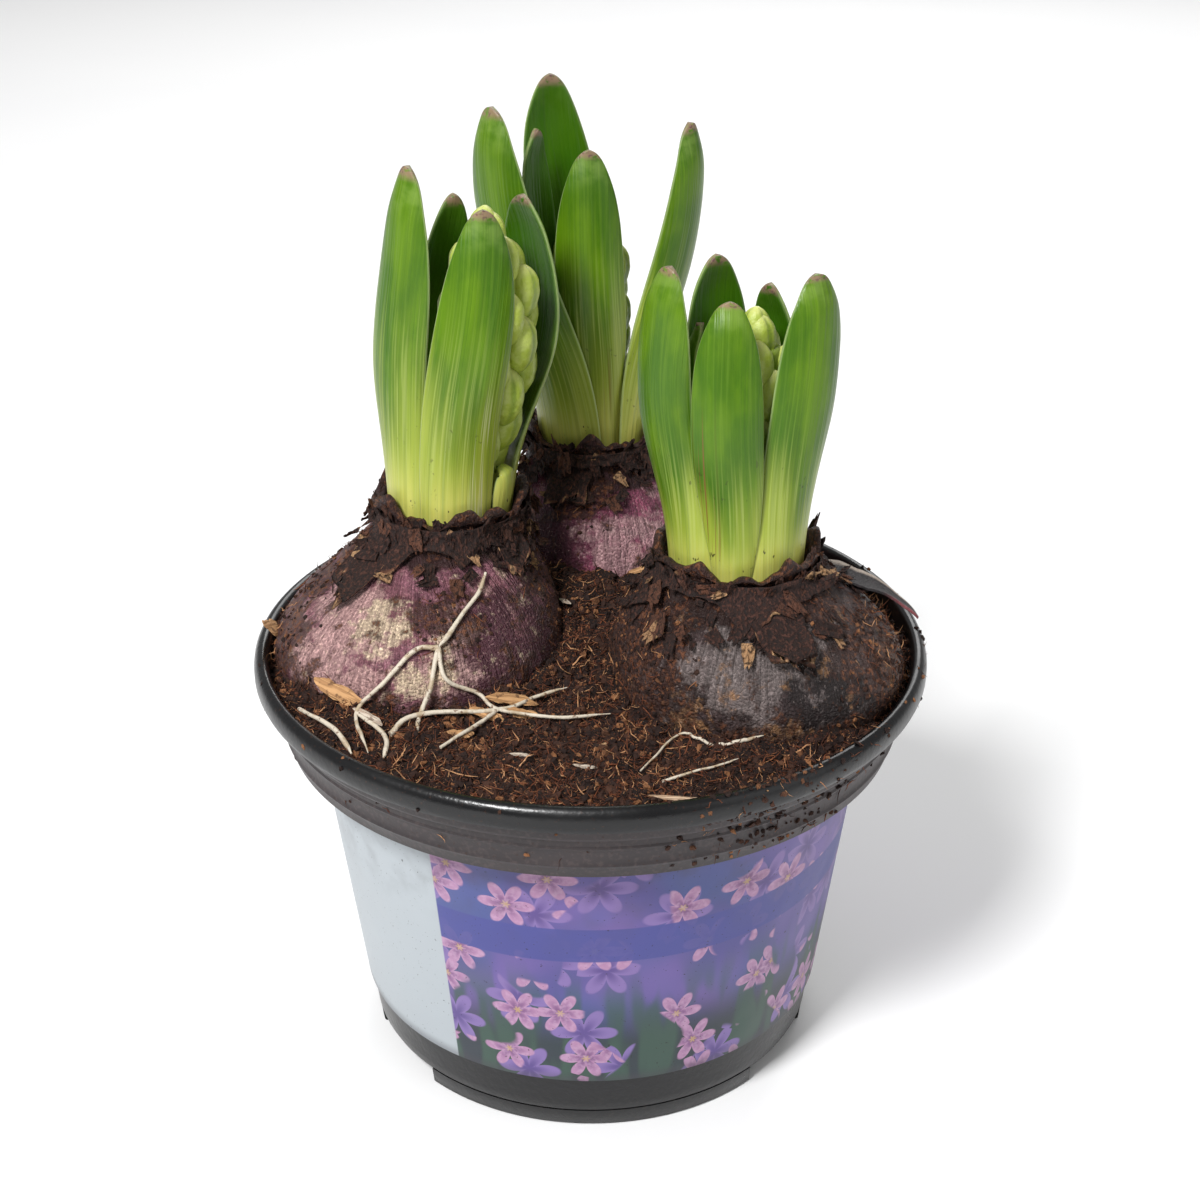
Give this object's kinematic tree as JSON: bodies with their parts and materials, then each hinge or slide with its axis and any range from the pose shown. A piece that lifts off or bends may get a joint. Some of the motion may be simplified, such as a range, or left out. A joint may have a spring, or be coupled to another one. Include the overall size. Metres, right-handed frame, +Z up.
{
  "type": "potted hyacinths in bud",
  "caption": "Hyacinth bulbs with upright fleshy leaves and green flower spikes in bud, set in soil in a round black nursery pot with a picture label.",
  "frame": {"origin": "centre of the pot's foot, on the surface that it stands on", "axes": "+Z up along the pot's axis, -Y towards the front of the pot as pictured, +X to the right from there"},
  "size_m": [0.13, 0.13, 0.1815],
  "materials": {
    "pot_plastic": "black moulded plastic, glossy on the rim and dusty with soil on the band",
    "label_film": "printed film in violet and blue with a pale strip",
    "potting_soil": "matte dark brown peat with fibres and bark chips",
    "bulb_skin_purple": "dry papery purple skin with a grey bloom and torn brown edges",
    "bulb_skin_slate": "dry slate-brown skin with a grey bloom and crumbs of soil",
    "leaf_green": "smooth waxy mid green, yellow-green at the base, with fine lengthwise stripes",
    "bud_green": "soft pale yellow-green, slightly waxy",
    "root_white": "smooth off-white"
  },
  "bodies": {
    "root": {"pot": "pot_plastic", "label": "label_film", "soil": "potting_soil", "bulb_left": "bulb_skin_purple", "leaf_left_1": "leaf_green", "leaf_left_2": "leaf_green", "leaf_left_3": "leaf_green", "leaf_left_4": "leaf_green", "leaf_left_5": "leaf_green", "flower_spike_left": "bud_green", "bulb_right": "bulb_skin_slate", "leaf_right_1": "leaf_green", "leaf_right_2": "leaf_green", "leaf_right_3": "leaf_green", "leaf_right_4": "leaf_green", "leaf_right_5": "leaf_green", "leaf_right_6": "leaf_green", "flower_spike_right": "bud_green", "bulb_back": "bulb_skin_purple", "leaf_back_1": "leaf_green", "leaf_back_2": "leaf_green", "leaf_back_3": "leaf_green", "leaf_back_4": "leaf_green", "leaf_back_5": "leaf_green", "flower_spike_back": "bud_green", "roots_left": "root_white", "root_stray": "root_white", "root_right_1": "root_white", "root_right_2": "root_white"}
  },
  "joints": []
}
